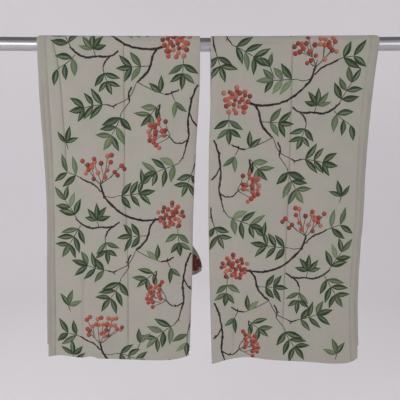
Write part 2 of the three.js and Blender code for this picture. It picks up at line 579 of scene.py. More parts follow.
class FoldedCloth:
    """Where a point of one panel's flat cloth lies once it is folded and hung, in millimetres."""

    def __init__(self, panel, cloth):
        self.panel = panel
        self.thickness = cloth.thickness / MM
        self.tight = cloth.tight_pitch / MM
        self.loose = cloth.loose_pitch / MM
        self.spacing = cloth.spacing / MM
        self.inner_radius = ROD_RADIUS / MM + ROD_GAP + self.thickness / 2
        self.over_rod = math.pi * (self.inner_radius + self.tight * LAST_LAYER / 2)
        self.period = panel.width + math.pi * (self.tight + self.loose) / 4
        self.first_edge = FREE_INSET
        self.last_edge = LAST_LAYER * self.period + panel.width - FREE_INSET
        top = panel.outlines["front"][0]
        self.inward = math.copysign(1, top.inner - top.outer)

    def section(self, s):
        """For each s: its share of the way from the outer side to the inner, its depth in the stack, and how
        far round a fold it is."""
        layer = np.clip(np.floor(s / self.period), 0, LAST_LAYER)
        along = s - layer * self.period
        goes_in = layer % 2 == 0
        width = self.panel.width
        share = np.clip(along / width, 0, 1)
        share = np.where(goes_in, share, 1 - share)
        turn = np.clip((along - width) / (self.period - width), 0, 1) * math.pi
        depth = layer + (1 - np.cos(turn)) / 2
        past = np.where(goes_in, 1, -1) * np.sin(turn)
        return share, depth, past

    def ends(self, s):
        """The t of the cloth's bottom edge at the front and at the back."""
        share = self.section(s)[0]
        shortfall = np.interp(s / self.period, np.arange(LAYERS + 1), SHORTFALLS)
        front = column(self.panel.drops["front"], "drop", "across", share) - shortfall
        back = column(self.panel.drops["back"], "drop", "across", share) - shortfall
        return front, -self.over_rod - back

    def sides(self, flap, down):
        """The x of the outer and inner sides of one flap."""
        rows = self.panel.outlines[flap]
        return column(rows, "outer", "down", down), column(rows, "inner", "down", down)

    def depth_below(self, t):
        """How far below the rod's axis the cloth lies at t, on either flap."""
        return np.where(t > 0, t, np.maximum(-t - self.over_rod, 0))

    def relief(self, flap, share, depth, x, down):
        """How far the cloth stands out from the flat on one flap."""
        outer, inner = self.sides(flap, down)
        swell = column(self.panel.swells, flap, "across", share) * smooth_step(down / SWELL_DEPTH)
        from_outer = np.abs(x - outer)
        roll = roll_back(np.abs(inner - x), INNER_ROLL) + roll_back(from_outer, OUTER_ROLL)
        hang = smooth_step(down / HANG_DEPTH)
        total = swell + roll * hang
        for crease in self.panel.creases:
            if crease.flap == flap:
                distance, fade = crease_reach(crease, x, down, 2 * CREASE_OVERRUN)
                total = total + crease.depth * np.exp(-((distance / crease.width) ** 1.3)) * fade
        inside_hem = from_outer - hem_width(down)
        step = HEM_RISE * smooth_step((HEM_BLUNTNESS - inside_hem) / (2 * HEM_BLUNTNESS))
        groove = HEM_GROOVE * np.exp(-(((inside_hem - HEM_GROOVE_PLACE) / HEM_GROOVE_WIDTH) ** 2))
        hem_side = np.where(depth < 0.5, 1, 0) - np.where(depth > LAST_LAYER - 0.5, 1, 0)
        return total + (step - groove) * hem_side * hang + self.pucker(share * self.panel.width, down, flap)

    def pucker(self, across, down, flap):
        """The small unevenness of hung linen."""
        random = np.random.default_rng(int(abs(self.panel.outlines["front"][0].outer)) + (flap == "back"))
        total = np.zeros_like(down)
        for _ in range(PUCKER_WAVES):
            heading = random.uniform(0, math.pi)
            length = random.uniform(*PUCKER_LENGTHS)
            start = random.uniform(0, math.tau)
            along = across * math.cos(heading) + down * math.sin(heading)
            total = total + PUCKER_SLOPE * length * np.sin(math.tau * along / length + start)
        return total * smooth_step(down / PUCKER_DEPTH)

    def place(self, s, t):
        """The points of the flat cloth in space, in millimetres from the middle of the rod."""
        share, depth, past = self.section(s)
        down = self.depth_below(t)
        turn = np.clip(-t / self.over_rod, 0, 1) * math.pi
        pitch = blend(self.tight, self.loose, smooth_step(down / LOOSE_DEPTH))
        places = {}
        for flap in ("front", "back"):
            outer, inner = self.sides(flap, down)
            fold = self.inward * pitch / 2
            x = outer + fold + (inner - outer - 2 * fold) * share + fold * past
            places[flap] = np.array([x, self.relief(flap, share, depth, x, down)])
        turning = (t < 0) & (t > -self.over_rod)
        backness = np.where(turning, smooth_step(turn / math.pi), t < -self.over_rod / 2)
        x, lift = places["front"] * (1 - backness) + places["back"] * backness
        # Near the rod the inner layers lie smooth on it.
        lift = lift * (1 - depth / LAST_LAYER * (1 - smooth_step(down / NEST_DEPTH)))
        radius = self.inner_radius + (LAST_LAYER - depth) * pitch + lift
        return np.stack([x, -radius * np.cos(turn), radius * np.sin(turn) - down - sag_at(x)], axis=1)


class Print:
    """The shapes of the print on one flat cloth, in the order in which they are laid down."""

    def __init__(self):
        self.outlines = []
        self.kinds = []
        self.numbers = []
        self.parents = []
        self.inner_points = []
        self.random = np.random.default_rng(PRINT_SEED)

    def add(self, kind, outline, numbers, inner=(), parent=None):
        """Adds a shape and gives its number. One with a parent is printed only where its parent is."""
        points = np.array(outline, float)
        after = np.roll(points, -1, axis=0)
        if np.sum(points[:, 0] * after[:, 1] - after[:, 0] * points[:, 1]) < 0:
            points = points[::-1]
        self.outlines.append(points.tolist())
        self.kinds.append(kind)
        self.numbers.append(numbers)
        self.parents.append(parent)
        self.inner_points.extend((float(x), float(y)) for x, y in inner)
        return len(self.outlines) - 1


def towards(point, heading, reach):
    return point + reach * np.array([math.cos(heading), math.sin(heading)])


def half_width(part):
    """A leaflet's half width at a share of its length, as a share of the most."""
    return np.sin(math.pi * np.clip(part, 0, 1) ** 0.86) ** 1.12


def leaf_points(leaf, parts, side):
    """Points of a leaflet: each a share of the way along it, and from -1 to 1 across."""
    cos, sin = math.cos(leaf.heading), math.sin(leaf.heading)
    points = []
    for part in parts:
        along = part * leaf.length
        across = leaf.bend * leaf.length * part * (1 - part) + side * half_width(part) * leaf.width / 2
        points.append((leaf.x + along * cos - across * sin, leaf.y + along * sin + across * cos))
    return points


def add_leaf(ink, x, y, heading, length):
    """A leaflet, with a light streak along the lit side of its rib."""
    random = ink.random
    leaf = LeafShape(
        x=x,
        y=y,
        heading=heading,
        length=length * random.uniform(0.88, 1.1),
        width=length * LEAF_SLIMNESS * random.uniform(0.88, 1.12),
        bend=random.uniform(-0.22, 0.22),
        tone=random.choice(LEAF_TONES, p=LEAF_SHARES),
        glow=random.uniform(0.3, 1),
        warmth=random.uniform(-1, 1),
        turned=random.choice([-1, 1]),
    )
    parts = (0.08, 0.2, 0.35, 0.52, 0.7, 0.87)
    left = leaf_points(leaf, (0, *parts), 1)
    right = leaf_points(leaf, (1, *reversed(parts)), -1)
    rib = leaf_points(leaf, (0.02, 0.3, 0.62, 0.95), 0)
    flesh = leaf_points(leaf, (0.2, 0.4, 0.6, 0.8), -0.5 * leaf.turned)
    number = ink.add("leaf", [*left, *right], tuple(leaf), [*rib, *flesh])
    near = leaf_points(leaf, (0.12, 0.35, 0.6, 0.86), STREAK_NEAR * leaf.turned)
    far = leaf_points(leaf, (0.72, 0.48, 0.25), STREAK_FAR * leaf.turned)
    ink.add("streak", [*near, *far], tuple(leaf), parent=number)


def add_berry(ink, x, y, skin=None):
    random = ink.random
    radius = BERRY_RADIUS * random.uniform(0.9, 1.1)
    if skin is None:
        skin = random.choice(len(BERRY_SHARES), p=BERRY_SHARES)
    angles = math.tau * (np.arange(BERRY_SIDES) + random.uniform(0, 1)) / BERRY_SIDES
    outline = [(x + radius * math.cos(a), y + radius * math.sin(a)) for a in angles]
    ink.add("berry", outline, (x, y, radius, skin), [(x - 0.3 * radius, y - 0.35 * radius)])


def spline(points, step):
    """A smooth curve through points, with a point about every step."""
    points = np.array(points, float)
    lengths = np.concatenate([[0], np.cumsum(np.linalg.norm(np.diff(points, axis=0), axis=1))])
    at = np.linspace(0, lengths[-1], max(3, round(lengths[-1] / step) + 1))
    return np.stack([curve_through(lengths, points[:, axis], at) for axis in (0, 1)], axis=1)


def add_stroke(ink, kind, points, width, step, knotted, parent=None):
    """A stroke along points, its width uneven and its end thin."""
    path = spline(points, step)
    path[1:-1] += ink.random.uniform(-1, 1, (len(path) - 2, 2)) * knotted * 1.5
    along = np.gradient(path, axis=0)
    normal = np.stack([-along[:, 1], along[:, 0]], axis=1) / np.linalg.norm(along, axis=1)[:, None]
    uneven = ink.random.uniform(1 - knotted, 1 + knotted, (2, len(path), 1))
    taper = np.ones((len(path), 1))
    taper[-1] = 0.6
    reach = width / 2 * taper
    left = path + normal * reach * uneven[0]
    right = path - normal * reach * uneven[1]
    return ink.add(kind, [*left, *right[::-1]], (width,), parent=parent)


def add_twig(ink, points, width):
    """A knotted twig with short stubs at every second joint."""
    random = ink.random
    number = add_stroke(ink, "twig", points, width, 4.5, 0.3)
    for index in range(1, len(points) - 1, 2):
        before, joint, after = (np.array(p, float) for p in points[index - 1 : index + 2])
        heading = math.atan2(*(after - before)[::-1]) + random.choice([-1, 1]) * random.uniform(0.6, 1.1)
        tip = towards(joint, heading, random.uniform(2.5, 6.5))
        add_stroke(ink, "twig", [joint, (joint + tip) / 2, tip], width * 0.7, 4, 0.25, parent=number)


def add_spray(ink, spray):
    """A feathered spray: pairs of leaflets along a curved stalk, and one at its end."""
    random = ink.random
    heading = math.radians(spray.heading)
    bend = random.uniform(-0.16, 0.16)
    gap = spray.leaf * 0.5
    point = np.array([spray.u, spray.v], float)
    joints = []
    for pair in range(spray.pairs + 1):
        heading += bend
        last = joints[-1][0] if joints else point
        joints.append((towards(last, heading, gap * (0.45 if pair == 0 else 1)), heading))
    add_stroke(ink, "stalk", [point, *(joint for joint, _ in joints)], STALK_WIDTH * STOUT_STALK, 6, 0.15)
    for index, (joint, heading) in enumerate(joints):
        for side in (-1, 1):
            opening = side * math.radians(random.uniform(44, 62))
            add_leaf(ink, *joint, heading + opening, spray.leaf * (1 - 0.05 * index))
    add_leaf(ink, *joint, heading, spray.leaf * 0.96)


def add_fan(ink, fan):
    """Leaflets that open from one point."""
    spread = math.radians(52 * (fan.leaves - 1) if fan.leaves <= 3 else 150)
    for index in range(fan.leaves):
        turn = (index / (fan.leaves - 1) - 0.5) * spread
        size = fan.leaf * (1 - 0.16 * abs(turn))
        add_leaf(ink, fan.u, fan.v, math.radians(fan.heading) + turn, size)


def add_ball(ink, ball, skin=None):
    """A round bunch of berries."""
    for index in range(ball.berries):
        reach = ball.reach * math.sqrt((index + 0.5) / ball.berries) * ink.random.uniform(0.9, 1.1)
        angle = index * GOLDEN_ANGLE + ink.random.uniform(-0.2, 0.2)
        add_berry(ink, ball.u + reach * math.cos(angle), ball.v + reach * math.sin(angle) * 0.95, skin)


def add_umbel(ink, umbel):
    """An open bunch: stalks that fan out and fork again, with berries alone and in twos and threes at their
    ends, which fill an oval ahead of the fork."""
    random = ink.random
    fork = np.array([umbel.u, umbel.v], float)
    ahead = math.radians(umbel.heading)
    middle = towards(fork, ahead, umbel.length)
    joints = []
    for index in range(umbel.stalks):
        turn = ahead + math.radians(100) * (index / (umbel.stalks - 1) - 0.5)
        joint = towards(fork, turn, umbel.length * random.uniform(0.35, 0.6))
        joints.append(joint)
        bend = (fork + joint) / 2 + random.uniform(-1.5, 1.5, 2)
        add_stroke(ink, "stalk", [fork, bend, joint], STALK_WIDTH * 1.4, 6, 0.15)
    ends = []
    for index in range(umbel.clumps):
        reach = math.sqrt((index + 0.6) / umbel.clumps) * random.uniform(0.9, 1.08)
        angle = index * GOLDEN_ANGLE + random.uniform(-0.25, 0.25)
        end = towards(middle, ahead, umbel.depth * reach * math.cos(angle))
        end = towards(end, ahead + math.pi / 2, umbel.width * reach * math.sin(angle))
        joint = min(joints, key=lambda place: np.linalg.norm(place - end))
        if np.linalg.norm(joint - end) > 2 * BERRY_RADIUS:
            bend = (joint + end) / 2 + random.uniform(-2, 2, 2)
            add_stroke(ink, "stalk", [joint, bend, end], STALK_WIDTH, 6, 0.1)
        ends.append(end)
    for end in ends:
        heading = math.atan2(*(end - fork)[::-1])
        for berry in range(random.choice([1, 2, 3], p=[0.36, 0.4, 0.24])):
            turn = heading + random.uniform(-0.5, 0.5) + (0, 1.2, -1.4)[berry]
            add_berry(ink, *towards(end, turn, BERRY_RADIUS * (0.2 if berry == 0 else 1.8)))


def draw_repeat(ink, s_start, t_start):
    """One printed repeat, with its corner at a place on the cloth."""

    def moved(shape):
        return shape._replace(u=shape.u + s_start, v=shape.v + t_start)

    def shifted(points):
        return [(u + s_start, v + t_start) for u, v in points]

    for points in STALKS:
        add_stroke(ink, "stalk", shifted(points), STALK_WIDTH * STOUT_STALK, 7, 0.15)
    for spray in SPRAYS:
        add_spray(ink, moved(spray))
    for fan in FANS:
        add_fan(ink, moved(fan))
    for branch in BRANCHES:
        add_twig(ink, shifted(branch.points), branch.width * TWIG_STOUTNESS)
    for umbel in UMBELS:
        add_umbel(ink, moved(umbel))
    for ball in BALLS:
        add_ball(ink, moved(ball))


def draw_print(folded):
    """The print of one panel: the repeat over the layers that show."""
    panel = folded.panel
    ink = Print()
    first_row = math.floor((-folded.over_rod - PRINT_BACK - panel.phase) / REPEAT_HEIGHT) - 1
    last_row = math.ceil((PRINT_FRONT - panel.phase) / REPEAT_HEIGHT)
    for layer in (0, LAST_LAYER):
        for row in range(first_row, last_row + 1):
            draw_repeat(ink, layer * folded.period, panel.phase + row * REPEAT_HEIGHT)
    # The back flap's corner that shows carries a bunch of berries all of the dark skin, dark partly as
    # painted shade for the shade that corner hangs in.
    ball = panel.back_cluster
    if ball:
        place = {"u": LAST_LAYER * folded.period + ball.u, "v": -folded.over_rod - ball.v}
        add_ball(ink, ball._replace(**place), DARK)
    return ink


def keep_shapes(ink, folded):
    """The numbers of the shapes that lie on the printed part of layers that show."""
    kept = []
    last_start = LAST_LAYER * folded.period
    for index, outline in enumerate(ink.outlines):
        parent = ink.parents[index]
        if parent is not None:
            if parent in kept:
                kept.append(index)
            continue
        s, t = np.array(outline).T
        on_first = s.max() < folded.period + INK_REACH and s.min() > PRINT_MARGIN - 2
        on_last = s.min() > last_start - 30 and s.max() < folded.last_edge - PRINT_MARGIN
        # The rear layer's cloth between the flaps is hidden.
        hidden = not on_first and -folded.over_rod - HIDDEN_BACK < t.mean() < HIDDEN_FRONT
        if not (on_first or on_last) or hidden:
            continue
        front, back = folded.ends(np.array([np.clip(s.mean(), folded.first_edge, folded.last_edge)]))
        if t.max() >= back[0] - INK_REACH and t.min() <= front[0] + INK_REACH:
            kept.append(index)
    return kept


def cloth_points(folded):
    """The points of the plain cloth's mesh: closer in layers that show, round the rod and at folds."""
    points = []
    width = folded.panel.width
    close = folded.spacing
    wide = close * HIDDEN_SPREAD
    for layer in range(LAYERS):
        shows = layer in (0, LAST_LAYER)
        edges = SHOWN_EDGES if shows else HIDDEN_EDGES
        columns = {*np.linspace(0, width, round(width / (close if shows else wide)) + 1)}
        columns.update([*edges, *(width - edge for edge in edges)])
        if layer < LAST_LAYER:
            turn = folded.period - width
            columns.update(width + turn * (i + 1) / (FOLD_COLUMNS + 1) for i in range(FOLD_COLUMNS))
        for across in sorted(columns):
            s = layer * folded.period + across
            if not folded.first_edge + 0.5 < s < folded.last_edge - 0.5:
                continue
            points.extend((s, -folded.over_rod * row / ROD_ROWS) for row in range(ROD_ROWS + 1))
            front, back = (end[0] for end in folded.ends(np.array([s])))
            at_fold = across > width - 5 or across < 5
            for start, end, way, covered in (
                (0, front - 1, 1, HIDDEN_FRONT),
                (-folded.over_rod, back + 1, -1, HIDDEN_BACK),
            ):
                t = start
                while True:
                    hides = not shows or (layer == LAST_LAYER and abs(t - start) < covered)
                    t += way * (wide if hides and not at_fold else close)
                    if way * (end - t) < 0:
                        break
                    points.append((s, t))
    return points


def crease_lines(folded):
    """Lines of points along each crease, on every layer, and along the edge of each hem."""
    panel = folded.panel
    lines = []
    for crease in panel.creases:
        at = np.arange(crease.points[0][0], crease.points[-1][0], folded.spacing, dtype=float)
        for offset in CREASE_ROWS:
            off = crease_path(crease, at) + offset * crease.width
            x, down = (off, at) if crease.runs == "down" else (at, off)
            down = np.maximum(down, 0.5)
            outer, inner = folded.sides(crease.flap, down)
            share = (x - outer) / (inner - outer)
            t = down if crease.flap == "front" else -folded.over_rod - down
            for layer in range(LAYERS):
                across = (share if layer % 2 == 0 else 1 - share) * panel.width
                lines.append(np.stack([layer * folded.period + across, t], axis=1))
    down = np.arange(0, panel.drops["front"][0].drop, folded.spacing)
    for offset in HEM_ROWS:
        s = hem_width(down) + offset
        lines.append(np.stack([s, down], axis=1))
        lines.append(np.stack([folded.last_edge + folded.first_edge - s, -folded.over_rod - down], axis=1))
    return lines


def crease_shade_amounts(folded, flat):
    """How deep in a crease each point of the flat cloth lies, from 0 to 1: the strength of the painted shade
    there.
    """
    share = folded.section(flat[:, 0])[0]
    t = flat[:, 1]
    down = folded.depth_below(t)
    total = np.zeros(len(flat))
    for crease in folded.panel.creases:
        on_flap = t > 0 if crease.flap == "front" else t < -folded.over_rod
        outer, inner = folded.sides(crease.flap, down)
        distance, fade = crease_reach(crease, blend(outer, inner, share), down, CREASE_SHADE_TAIL)
        amount = np.exp(-((distance / (0.8 * crease.width)) ** 2)) * min(1, abs(crease.depth) / CREASE_SHADE_DEPTH)
        total = np.maximum(total, amount * fade * on_flap)
    return total


def inside_cloth(folded, points, margin):
    s, t = np.array(points).T
    front, back = folded.ends(s)
    fits = (s > folded.first_edge + margin) & (s < folded.last_edge - margin)
    return fits & (t < front - margin) & (t > back + margin)


def distances(points, others):
    """How far each point lies from the nearest of the others."""
    tree = KDTree(len(others))
    for index, (x, y) in enumerate(others):
        tree.insert((x, y, 0), index)
    tree.balance()
    return np.array([tree.find((x, y, 0))[2] for x, y in points])


def cloth_border(folded):
    """The flat cloth's outline, in order."""
    step = folded.spacing
    count = round((folded.last_edge - folded.first_edge) / step)
    s = np.linspace(folded.first_edge, folded.last_edge, count + 1)
    turn = folded.period - folded.panel.width
    for layer in range(LAST_LAYER):
        fold = (layer * folded.period + folded.panel.width) + turn * np.linspace(0, 1, FOLD_COLUMNS + 2)
        s = np.concatenate([s[np.abs(s - fold.mean()) > turn], fold])
    s = np.sort(s)
    front, back = folded.ends(s)
    last_side = [(folded.last_edge, t) for t in np.arange(back[-1] + step, front[-1] - step / 2, step)[::-1]]
    first_side = [(folded.first_edge, t) for t in np.arange(back[0] + step, front[0] - step / 2, step)]
    border = [*zip(s, front), *last_side, *zip(s[::-1], back[::-1]), *first_side]
    return border[::-1]


def cut_print(folded, ink):
    """Triangles of the flat cloth with the print's outlines cut into them: points, triangles and the number
    of the topmost printed shape on each, or -1."""
    kept = keep_shapes(ink, folded)
    vertices = cloth_border(folded)
    faces = [list(range(len(vertices)))]
    for number in kept:
        start = len(vertices)
        vertices.extend(ink.outlines[number])
        faces.append(list(range(start, len(vertices))))
    inner = list(compress(ink.inner_points, inside_cloth(folded, ink.inner_points, INK_MARGIN)))
    inner = list(compress(inner, distances(inner, vertices) < INK_REACH))
    creases_start = len(vertices)
    edges = []
    for line in crease_lines(folded):
        inside = inside_cloth(folded, line, BORDER_MARGIN)
        for point, keep, follows in zip(line.tolist(), inside, [False, *inside[:-1]]):
            if keep and follows:
                edges.append((len(vertices) - 1, len(vertices)))
            if keep:
                vertices.append(point)
    vertices += list(compress(inner, distances(inner, vertices[creases_start:]) > INK_CLEARANCE))
    plain = cloth_points(folded)
    plain = list(compress(plain, inside_cloth(folded, plain, BORDER_MARGIN)))
    vertices += list(compress(plain, distances(plain, vertices) > PLAIN_CLEARANCE))
    out = delaunay_2d_cdt([Vector(p) for p in vertices], edges, faces, 0, 1e-4, True)
    flat, triangles, sources = out[0], out[2], out[5]
    on_cloth = [0 in numbers for numbers in sources]
    tops = [max(numbers) for numbers in compress(sources, on_cloth)]
    topmost = [kept[top - 1] if top > 0 else -1 for top in tops]
    cut = np.array(list(compress(triangles, on_cloth)))
    return np.array([tuple(p) for p in flat]), cut, np.array(topmost)


def leaf_place(leaf, points):
    """Where points lie on leaflets: the share along, and from -1 to 1 across."""
    cos, sin = np.cos(leaf.heading), np.sin(leaf.heading)
    dx = points[..., 0] - leaf.x
    dy = points[..., 1] - leaf.y
    part = np.clip((dx * cos + dy * sin) / leaf.length, 0, 1)
    across = dy * cos - dx * sin - leaf.bend * leaf.length * part * (1 - part)
    return part, across / np.maximum(half_width(part) * leaf.width / 2, 0.3)


def leaf_colours(tint, numbers, corners):
    """Leaflets: one half lit, the rim and the tips dark."""
    leaf = LeafShape(*numbers)
    part, side = leaf_place(leaf, corners)
    half = leaf_place(LeafShape(*numbers[:, :, 0]), corners.mean(axis=1))[1]
    lit = (np.sign(half) * leaf.turned[:, 0] > 0)[:, None, None]
    tone, glow, warmth = (value[..., None] for value in (leaf.tone, leaf.glow, leaf.warmth))
    inside = tint["leaf_middle"] * np.where(lit, 1 + 0.5 * glow, 1) * (1 + LEAF_WARMTH * warmth)
    inside = blend(inside, tint["leaf_pale"], tone * 0.85)
    edge = blend(tint["leaf_dark"], tint["leaf_middle"], np.where(lit, 0.2, 0))
    edge = blend(edge, tint["leaf_pale"], tone * 0.5)
    rim = np.clip(np.abs(side), 0, 1) ** 1.6
    ends = np.abs(2 * part - 1) ** 5
    return blend(inside, edge, np.maximum(rim, 0.85 * ends)[..., None]), 0.98 - 0.16 * leaf.tone


def streak_colours(tint, numbers, corners):
    """The light streaks of leaflets, brightest beside the rib and half way along."""
    leaf = LeafShape(*numbers)
    part, side = leaf_place(leaf, corners)
    away = np.clip((side * leaf.turned - STREAK_NEAR) / (STREAK_FAR - STREAK_NEAR), 0, 1)
    bright = leaf.glow * (1 - 0.75 * np.abs(2 * part - 1) ** 1.5) * (1 - 0.55 * away)
    streak = blend(tint["leaf_middle"], tint["leaf_light"], bright[..., None])
    streak = streak * (1 + LEAF_WARMTH * leaf.warmth[..., None])
    return blend(streak, tint["leaf_pale"], leaf.tone[..., None] * 0.7), 0.96 - 0.16 * leaf.tone


def berry_colours(tint, numbers, corners):
    """Berries of five skins, each with a glint up and to the left, and a dark rim."""
    x, y, radius, skin = numbers
    red, dark, light = tint["berry_red"], tint["berry_dark"], tint["berry_light"]
    skins = np.stack([red, dark, light, (red + light) / 2, light * 0.7 + tint["wash"] * 0.3])
    own = skins[skin[:, 0].astype(int)][:, None, :]
    away = np.hypot(corners[..., 0] - x + 0.3 * radius, corners[..., 1] - y + 0.35 * radius)
    rim = np.clip(away / (1.45 * radius), 0, 1)[..., None] ** 1.2
    return blend(blend(own, light, 0.42), own * 0.37, rim), 0.97


def ink_colours(flat, triangles, topmost, ink, cloth):
    """Per corner of each triangle: the ink's colour, and how much of it there is."""
    tint = {name: linear(getattr(cloth, name)) for name in INKS}
    corners = flat[triangles]
    leaves = [p for kind, outline in zip(ink.kinds, ink.outlines) if kind == "leaf" for p in outline]
    colours = np.empty((*corners.shape[:2], 4))
    colours[..., :3] = tint["wash"]
    # The pale bleed falls off away from the leaves.
    colours[..., 3] = (WASH_AMOUNT * np.clip(1 - distances(flat, leaves) / WASH_REACH, 0, 1))[triangles]
    kinds = np.array([*ink.kinds, "ground"])[topmost]
    for kind, colour_of in (("leaf", leaf_colours), ("streak", streak_colours), ("berry", berry_colours)):
        chosen = kinds == kind
        numbers = np.array([ink.numbers[n] for n in topmost[chosen]]).T[:, :, None]
        colours[chosen, :, :3], colours[chosen, :, 3] = colour_of(tint, numbers, corners[chosen])
    # Twigs and stalks are mottled.
    mottle = 0.5 + 0.5 * np.sin(corners[..., 0] * 0.9 + np.sin(corners[..., 1] * 0.7) * 2)
    for kind, amount in (("twig", 0.98), ("stalk", 0.92)):
        chosen = kinds == kind
        colours[chosen, :, :3] = tint[kind] * (0.8 + 0.7 * mottle[chosen])[..., None]
        colours[chosen, :, 3] = amount
    return colours


def vertex_normals(points, triangles):
    a, b, c = (points[triangles[:, i]] for i in range(3))
    normals = np.cross(b - a, c - a)
    total = np.zeros_like(points)
    for i in range(3):
        np.add.at(total, triangles[:, i], normals)
    return total / np.maximum(np.linalg.norm(total, axis=1), 1e-12)[:, None]


def border_edges(triangles):
    """The edges that have one triangle, each in its triangle's direction."""
    edges = np.concatenate([triangles[:, [0, 1]], triangles[:, [1, 2]], triangles[:, [2, 0]]]).tolist()
    known = {(a, b) for a, b in edges}
    return [(a, b) for a, b in edges if (b, a) not in known]


def cloth_mesh(folded, cloth):
    """The mesh of one panel: the printed side, the wrong side and the cut edge between them."""
    ink = draw_print(folded)
    flat, triangles, topmost = cut_print(folded, ink)
    used, packed = np.unique(triangles, return_inverse=True)
    flat = flat[used]
    triangles = packed.reshape(-1, 3)
    colours = ink_colours(flat, triangles, topmost, ink, cloth)
    place = folded.place(flat[:, 0], flat[:, 1])
    # Seen from its printed side, the left panel's flat cloth is turned over.
    if folded.inward > 0:
        triangles = triangles[:, ::-1]
        colours = colours[:, ::-1]
    half = vertex_normals(place, triangles) * (folded.thickness / 2)
    count = len(place)
    rim = border_edges(triangles)
    rim_faces = [[b, a, a + count, b + count] for a, b in rim]
    faces = [*triangles.tolist(), *(triangles[:, ::-1] + count).tolist(), *rim_faces]
    points = np.concatenate([place + half, place - half]) * MM
    points[:, 0] += ROD_MIDDLE

    mesh = bpy.data.meshes.new(folded.panel.name)
    mesh.from_pydata(points.tolist(), [], faces)
    side = len(triangles)
    wrong_side = np.zeros(len(faces), dtype=np.int32)
    wrong_side[side : 2 * side] = 1
    mesh.polygons.foreach_set("material_index", wrong_side)
    mesh.polygons.foreach_set("use_smooth", np.ones(len(faces), dtype=bool))

    wrong = colours[:, ::-1]
    rim_ink = np.tile([*linear(cloth.wash), 0.0], (4 * len(rim), 1))
    corner_inks = np.concatenate([colours.reshape(-1, 4), wrong.reshape(-1, 4), rim_ink])
    layer = mesh.color_attributes.new("ink", "FLOAT_COLOR", "CORNER")
    layer.data.foreach_set("color", corner_inks.astype(np.float32).ravel())
    # How much painted shade the creases put on each point, on both sides of the cloth
    pressed = mesh.attributes.new("pressed", "FLOAT", "POINT")
    pressed.data.foreach_set("value", np.tile(crease_shade_amounts(folded, flat), 2).astype(np.float32))

    corner_points = np.concatenate([np.array(face) for face in faces])
    on_cloth = np.concatenate([flat, flat])[corner_points] * MM
    for name, places in (("cloth", on_cloth), ("OFBake", bake_places(flat, corner_points, side, len(rim)))):
        uv_map = mesh.uv_layers.new(name=name)
        uv_map.uv.foreach_set("vector", places.astype(np.float32).ravel())
    mesh.set_sharp_from_angle(angle=SHARP_ANGLE)
    mesh.validate()
    return mesh


def bake_places(flat, corner_points, side, rim_count):
    """A map of the cloth for textures: the printed side fills most of it, and the wrong side and the cut
    edge lie in bands of their own."""
    share = 0.66
    gap = 0.01
    unit = (flat - flat.min(axis=0)) / np.ptp(flat, axis=0)
    places = np.concatenate([unit, unit])[corner_points]
    printed = slice(0, 3 * side)
    wrong = slice(3 * side, 6 * side)
    rim = slice(6 * side, None)
    places[printed, 1] = places[printed, 1] * share
    places[wrong, 1] = share + gap + places[wrong, 1] * (1 - share - 3 * gap)
    on_wrong_side = corner_points[rim] >= len(flat)
    corners = np.repeat(np.arange(rim_count), 4) + np.tile([1, 0, 0, 1], rim_count)
    places[rim, 0] = corners / max(rim_count, 1)
    places[rim, 1] = 1 - gap + on_wrong_side * gap * 0.9
    return places


def linen_material(name, cloth, total_width, hem_shade, ink_amount):
    """Slubby plain-woven linen that carries the print, with painted shade in its creases and on its side hem.
    """
    shader = Shader(name)
    place = shader.add("ShaderNodeUVMap", {"uv_map": "cloth"}).out("UV")
    parts = shader.add("ShaderNodeSeparateXYZ", {}, {"Vector": place})
    across, down = parts.number("X"), parts.number("Y")
    ink = shader.add("ShaderNodeVertexColor", {"layer_name": "ink"})
    # The creases' painted shade at each point
    pressed = shader.add("ShaderNodeAttribute", {"attribute_name": "pressed"}).number("Fac")

    def linen(share):
        return opaque(np.array(cloth.ground) * share)

    slubs = (shader.noise(place, 1.0, 3.0, (900, 28, 1)) + shader.noise(place, 1.0, 3.0, (34, 1000, 1))) * 0.5
    clouds = shader.noise(place, 26.0, 2.0)
    grain = shader.noise(place, 520.0, 2.0)
    tone = 0.5 + (slubs - 0.5) * 1.1 + (clouds - 0.5) * 0.45 + (grain - 0.5) * 0.35
    blush = shader.noise(place, 11.0, 2.0).between(0.36, 0.66)
    ground = shader.mixed(blush * 0.5, shader.mixed(tone, linen(0.91), linen(1.07)), opaque(cloth.blush))

    # The side hem, painted shade on it and on the line beside it, and the stitches that hold it, in metres
    # from the hem's edge
    waves = (down / (HEM_WAVE * MM)).sine() * (HEM_UNEVENNESS * MM)
    to_hem = across.least(total_width - across) - waves - HEM_WIDTH * MM
    # Painted shade darkens the hem's band, and more strongly the line beside it.
    shaded_hem = shader.mixed(to_hem.between(0.0006, -0.0006) * hem_shade, ground, linen(0.72))
    shade = abs(to_hem - 0.0009).between(0.0015, 0.0002)
    shaded = shader.mixed(shade * (hem_shade + 0.2), shaded_hem, linen(0.6))
    dashes = (down * (math.tau / 0.0034)).sine().between(-0.5, 0.1)
    stitch = abs(to_hem + 0.0017).between(0.0006, 0.00025) * dashes
    sewn = shader.mixed(stitch * 0.3, shaded, linen(0.62))

    worn = 1 - (slubs - 0.42).between(0, 0.3) * 0.12 - (clouds - 0.5).between(0, 0.3) * 0.1
    printed = shader.mixed(ink.number("Alpha") * worn * ink_amount, sewn, ink.out("Color"))

    thread = math.tau / 0.0007
    weave = (across * thread).sine() * (down * thread).sine()
    # The base colour darkens towards the crease colour as painted shade in the creases.
    return shader.finish(
        {
            "Base Color": shader.mixed(pressed * 0.55, printed, opaque(cloth.crease)),
            "Roughness": 0.95 - slubs * 0.12,
            "Normal": shader.bump(weave * 0.35 + slubs * 1.6 + grain * 0.4 - stitch * 2.2, 0.5, 0.00012),
            "Specular IOR Level": 0.12,
            "Sheen Weight": 0.04,
            "Sheen Roughness": 0.5,
        }
    )


